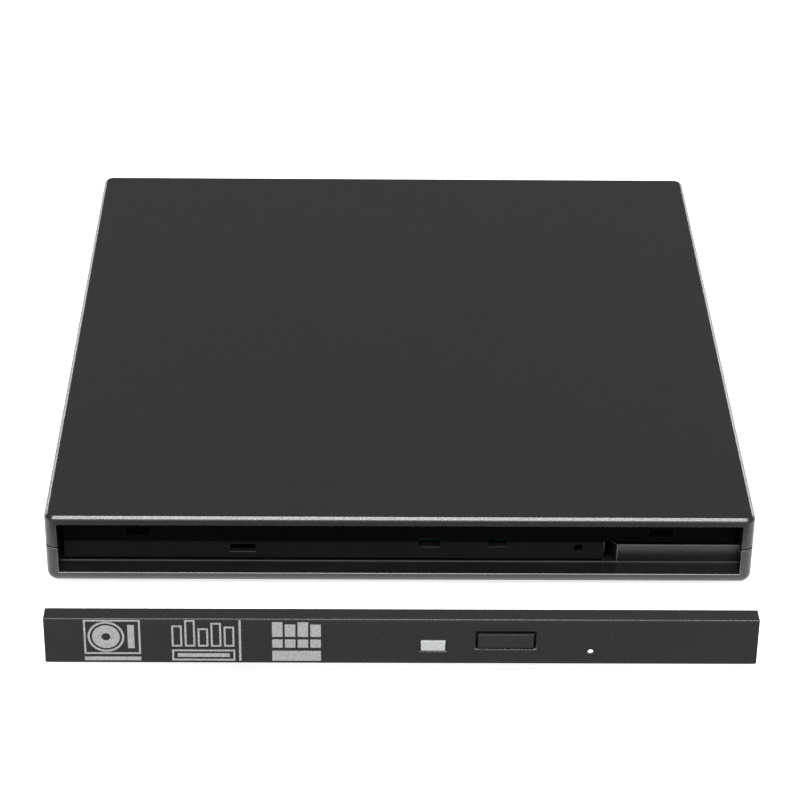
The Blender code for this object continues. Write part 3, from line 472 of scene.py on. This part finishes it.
# Width of the rounding on the outer edges of each softened node
EDGE_MM = {"upper_shell": 0.16, "lower_shell": 0.16, "faceplate": 0.22, "eject_button": 0.18,
           "light_pipe": 0.12, "tray": 0.15, "turntable": 0.12, "pickup_body": 0.12, "lens_holder": 0.08,
           "traverse_plate": 0.06, "latch_lever": 0.12, "sata_plug": 0.1, "sata_socket": 0.1,
           "power_jack": 0.06, "usb_port": 0.06}


def smooth_inside(piece):
    """Give the faces inside the case the smooth bay finish; the outer skin keeps its texture."""
    skin = Vector((SKIN_MM, SKIN_MM, SKIN_MM)) * MM
    inner_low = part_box("lower_shell")[0] + skin
    inner_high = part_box("upper_shell")[1] - skin
    bay = add_finish(piece, "bay_plastic")
    for face in piece.data.polygons:
        if all(inner_low[axis] < face.center[axis] < inner_high[axis] for axis in range(3)):
            face.material_index = bay


def paint_edge_highlights(piece):
    """Give the lower shell's narrow faces that look up or forward a paler finish: a painted highlight along the
    moulded edges.

    The small step behind the ledge is first cut from the block's front, which lies in the same plane.
    """
    highlight_index = add_finish(piece, "painted_edge_highlight")
    step_y = CASE_FRONT_Y + LEDGE_DEPTH_MM * MM
    bm = bmesh.new()
    bm.from_mesh(piece.data)
    riser = [face for face in bm.faces
             if face.normal.y < -0.99 and abs(face.calc_center_bounds().y - step_y) < 0.05 * MM]
    around = list(dict.fromkeys(part for face in riser for part in (*face.edges, *face.verts)))
    bmesh.ops.bisect_plane(bm, geom=riser + around, dist=0.0001 * MM, plane_co=(0.0, 0.0, STEP_TOP_MM * MM),
                           plane_no=(0.0, 0.0, 1.0))
    # Painted highlight: narrow faces that look up or forward take the paler finish.
    for face in bm.faces:
        if is_narrow(face) and face.normal.y < -0.3 and face.normal.z > -0.1:
            face.material_index = highlight_index
    bm.to_mesh(piece.data)
    bm.free()


def paint_front_shade(piece):
    """Give the front face of the tray's front wall its own finish: a matt lower band with painted shade above it.
    """
    behind_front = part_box("tray")[0].y + 0.3 * MM
    black = add_finish(piece, "tray_front_painted_shade")
    for face in piece.data.polygons:
        if face.center.y < behind_front and face.normal.y < -0.5:
            face.material_index = black


def carried_nodes():
    """Every CAD node: the ones with moulded or cast edges are softened, and the rest take their material."""
    for node in NODES:
        if node in EDGE_MM:
            piece = soften(node, EDGE_MM[node])
            if node.endswith("_shell"):
                smooth_inside(piece)
                if node == "lower_shell":
                    paint_edge_highlights(piece)
            elif node == "tray":
                paint_front_shade(piece)
        else:
            dress(NODES[node], SLOT_OF[node])


INK_MM = 0.03       # the print stands this far out of the plate, and reaches as deep into it
LINE_MM = 0.35


def print_box(bm, low, high):
    """Add a printed bar between two corners."""
    box_mesh(bm, (*low, -INK_MM), (*high, INK_MM))


def print_ring(bm, centre, inner, outer):
    """Add a printed ring between two radii."""
    ring_mesh(bm, [(outer, INK_MM), (outer, -INK_MM), (inner, -INK_MM), (inner, INK_MM)], centre, steps=64)


def print_frame(bm, low, high):
    """Add the outline of a rectangle between two corners."""
    print_box(bm, low, (high[0], low[1] + LINE_MM))
    print_box(bm, (low[0], high[1] - LINE_MM), high)
    print_box(bm, (low[0], low[1] + LINE_MM), (low[0] + LINE_MM, high[1] - LINE_MM))
    print_box(bm, (high[0] - LINE_MM, low[1] + LINE_MM), (high[0], high[1] - LINE_MM))


def ring_mark(bm):
    """A ring and an upright bar in a frame, over a flat bar."""
    for inner, outer in ((0.8, 2.5), (2.9, 3.3)):
        print_ring(bm, (-1.6, 0.9), inner, outer)
    print_frame(bm, (-5.6, -2.9), (4.6, 4.6))
    print_box(bm, (2.3, -1.6), (3.5, 3.5))
    print_box(bm, (-5.6, -4.3), (4.6, -3.5))


def bars_mark(bm):
    """Five hollow bars over a framed flat bar, and a thin line at the right."""
    print_frame(bm, (-6.2, -4.3), (5.2, -1.9))
    print_box(bm, (-5.2, -3.5), (4.2, -2.7))
    for column, height in enumerate((3.4, 4.6, 2.8, 4.0, 3.2)):
        left = -6.2 + 2.35 * column
        print_frame(bm, (left, -1.2), (left + 1.9, height))
    print_box(bm, (5.9, -4.3), (6.3, 4.6))


def grid_mark(bm):
    """Two rows of four blocks over a wide one."""
    for column in range(4):
        left = -4.5 + 2.3 * column
        print_box(bm, (left, 1.0), (left + 1.9, 4.2 - 0.5 * (column % 2)))
        print_box(bm, (left, -1.4), (left + 1.9, 0.4))
    print_box(bm, (-4.5, -4.3), (4.3, -2.1))


def plate_marks():
    """Three plain printed pictograms on the faceplate."""
    low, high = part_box("faceplate")
    middle = (low.z + high.z) / 2
    upright = Matrix.Rotation(math.radians(90.0), 4, 'X')
    for name, x_mm, draw in (("mark_ring", -51.7, ring_mark), ("mark_bars", -35.3, bars_mark),
                             ("mark_grid", -18.9, grid_mark)):
        bm = bmesh.new()
        draw(bm)
        mount(name, bm, "print_ink", "faceplate", Matrix.Translation((x_mm * MM, low.y, middle)) @ upright)


def usb_contacts():
    """Four gold contacts on the tongue of the USB socket."""
    low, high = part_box("usb_port")
    middle = (low.x + high.x) / 2 / MM
    tongue_top = low.z / MM + 2.3
    mouth = high.y / MM
    pitch = 0.9
    half_width = 0.22
    bm = bmesh.new()
    for index in range(4):
        x = middle + pitch * (index - 1.5)
        box_mesh(bm, (x - half_width, mouth - 6.0, tongue_top - 0.05),
                 (x + half_width, mouth - 2.1, tongue_top + 0.04), 0.02)
    mount("usb_contacts", bm, "gold", "case")


def jack_tip():
    """A bright sleeve over the power jack's pin."""
    low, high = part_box("power_jack")
    axis_z_mm = 5.3
    length_mm = 5.0
    setback_mm = 6.3
    bm = bmesh.new()
    profile = [(0.2, length_mm), (0.45, length_mm - 0.1), (0.58, length_mm - 0.4), (0.58, 0.0), (0.2, 0.0)]
    ring_mesh(bm, profile, steps=20)
    root = Matrix.Translation(((low.x + high.x) / 2, high.y - setback_mm * MM, axis_z_mm * MM))
    mount("jack_tip", bm, "bright_steel", "case", root @ Matrix.Rotation(math.radians(-90.0), 4, 'X'))


LENS_X_MM = 23.0        # along the traverse, from the spindle
PICKUP_TOP_MM = 7.8


def pickup_details():
    """Magnets, yokes, terminal block and suspension wires round the lens, in the traverse's own axes."""
    top = PICKUP_TOP_MM
    for name, finish, half_length, across, upward, radius in (
            ("lens_magnets", "bright_steel", 3.2, (5.1, 6.0), (top - 0.2, top + 0.95), 0.1),
            ("lens_yokes", "sheet_steel", 3.8, (6.15, 6.6), (top - 0.3, top + 1.15), 0.12)):
        bm = bmesh.new()
        mirrored_boxes(bm, (LENS_X_MM - half_length, LENS_X_MM + half_length), across, upward, radius)
        mount(name, bm, finish, "pickup", TRAVERSE)
    bm = bmesh.new()
    box_mesh(bm, (LENS_X_MM + 4.5, -4.2, top - 0.2), (LENS_X_MM + 5.9, 4.2, top + 1.05), 0.15)
    mount("wire_block", bm, "chip_black", "pickup", TRAVERSE)
    bm = bmesh.new()
    thickness = 0.08
    for height in (top + 0.55, top + 0.85):
        mirrored_boxes(bm, (LENS_X_MM - 1.0, LENS_X_MM + 4.7), (4.72, 4.72 + thickness),
                       (height, height + thickness))
    mount("suspension_wires", bm, "gold", "pickup", TRAVERSE)


def lens_details():
    """Focus coils at the sides of the lens holder, and a rim round the lens."""
    low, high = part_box("lens_holder")
    rim = high.z / MM
    bm = bmesh.new()
    mirrored_boxes(bm, (LENS_X_MM - 2.6, LENS_X_MM + 2.6), (4.42, 4.60), (low.z / MM + 0.06, rim - 0.06),
                   0.05)
    mount("lens_coils", bm, "copper", "lens", TRAVERSE)
    bm = bmesh.new()
    profile = [(2.2, rim + 0.16), (2.6, rim + 0.05), (2.7, rim - 0.1), (1.98, rim - 0.1), (1.98, rim + 0.1)]
    ring_mesh(bm, profile, centre=(LENS_X_MM, 0.0), steps=40)
    mount("lens_rim", bm, "chip_black", "lens", TRAVERSE)


def spindle_details():
    """A bright cap and a dark turned ring on the hub."""
    top = SPINDLE_HIGH.z / MM
    spot = Matrix.Translation((SPINDLE.x, SPINDLE.y, 0.0))
    bm = bmesh.new()
    ring_mesh(bm, [(0.2, top + 0.12), (1.5, top + 0.10), (1.9, top - 0.05), (0.2, top - 0.05)], steps=32)
    mount("hub_cap", bm, "bright_steel", "spindle", spot)
    bm = bmesh.new()
    ring_mesh(bm, [(4.9, top + 0.05), (5.1, top - 0.1), (4.2, top - 0.1), (4.4, top + 0.05)], steps=48)
    mount("hub_ring", bm, "tray_plastic", "spindle", spot)


# ---------------------------------------------------------------- surroundings

FLOOR_SIZE = 6.0
ROOM_LIGHT = 0.25

# Name, place, size and power of each lamp, in metres and watts; every lamp looks at the origin
LAMPS = (
    ("key", (0.0, -0.60, 0.95), (0.8, 0.30), 18.0),
    ("left_rim", (-1.0, 1.1, 0.30), (0.8, 0.4), 9.0),
    ("right_rim", (1.0, 1.1, 0.30), (0.8, 0.4), 9.0),
    ("front_fill", (0.0, -1.5, 0.35), (1.4, 0.5), 6.0))


def floor_paint():
    """Pale and evenly glowing to the camera. To all other rays it is pale and glows from just in front of the case
    backwards, painted light on the case's lower edges, and it is greyer and barely glowing further in front: a
    painted reflection in the case's front faces.
    """
    s = Shader("floor_paint")
    seen = s.tree.nodes.new("ShaderNodeLightPath").outputs["Is Camera Ray"]
    along = s.add("SeparateXYZ", Vector=s.place).outputs["Y"]
    near = s.remap(along, CASE_FRONT_Y - 18.0 * MM, CASE_FRONT_Y - 12.0 * MM, 0.0, 1.0)
    reflected = s.mix(near, grey(0.30), grey(0.86))
    pale = s.mix(s.noise(60.0), grey(0.87), grey(0.89))
    # Painted light: near the case the floor glows and lights the case's lower edges.
    glow = s.mix(seen, s.mix(near, grey(0.02), grey(0.5)), grey(0.8))
    return s.finish(s.mix(seen, reflected, pale), 0.9, Specular_IOR_Level=0.05, Emission_Color=glow,
                    Emission_Strength=1.0)


def floor():
    """A pale plane under the feet."""
    feet_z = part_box("foot_front_left")[0].z
    bpy.ops.mesh.primitive_plane_add(size=FLOOR_SIZE, location=(0.0, 0.0, feet_z))
    plane = bpy.context.object
    plane.name = "floor"
    plane.data.materials.append(floor_paint())


def lamps():
    """A dim even room, and lamps that draw the moulded edges."""
    world = bpy.data.worlds.new("room")
    world.use_nodes = True
    background = world.node_tree.nodes["Background"]
    background.inputs["Color"].default_value = rgba(grey(1.0))
    background.inputs["Strength"].default_value = ROOM_LIGHT
    scene = bpy.context.scene
    scene.world = world
    scene.view_settings.view_transform = 'Standard'
    for name, place, size, power in LAMPS:
        light = bpy.data.lights.new(name, 'AREA')
        light.shape = 'RECTANGLE'
        light.size, light.size_y = size
        light.energy = power
        lamp = bpy.data.objects.new(name, light)
        lamp.location = place
        lamp.rotation_euler = (-Vector(place)).to_track_quat('-Z', 'Y').to_euler()
        scene.collection.objects.link(lamp)


# The camera, fitted to the outline of the case in the photo
PITCH = math.radians(30.76)
YAW = math.radians(0.99)
ROLL = math.radians(0.75)
EYE = Vector((-0.0079, CASE_FRONT_Y - 0.4346, 0.2995))
FOCAL_LENGTH_MM = 124.0
SENSOR_WIDTH_MM = 36.0


def camera():
    """A long lens in front of and above the case, turned slightly to the right and rolled a little."""
    ahead = Vector((math.sin(YAW) * math.cos(PITCH), math.cos(YAW) * math.cos(PITCH), -math.sin(PITCH)))
    right = Vector((math.cos(YAW), -math.sin(YAW), 0.0))
    up = right.cross(ahead)
    side = right * math.cos(ROLL) + up * math.sin(ROLL)
    top = up * math.cos(ROLL) - right * math.sin(ROLL)
    turn = Matrix((side, top, -ahead)).transposed().to_4x4()
    data = bpy.data.cameras.new("camera")
    data.sensor_width = SENSOR_WIDTH_MM
    data.lens = FOCAL_LENGTH_MM
    data.clip_start = 0.01
    eye = bpy.data.objects.new("camera", data)
    eye.matrix_world = Matrix.Translation(EYE) @ turn
    bpy.context.scene.collection.objects.link(eye)
    bpy.context.scene.camera = eye


carried_nodes()
plate_marks()
usb_contacts()
jack_tip()
pickup_details()
lens_details()
spindle_details()
floor()
lamps()
camera()
bpy.context.view_layer.update()
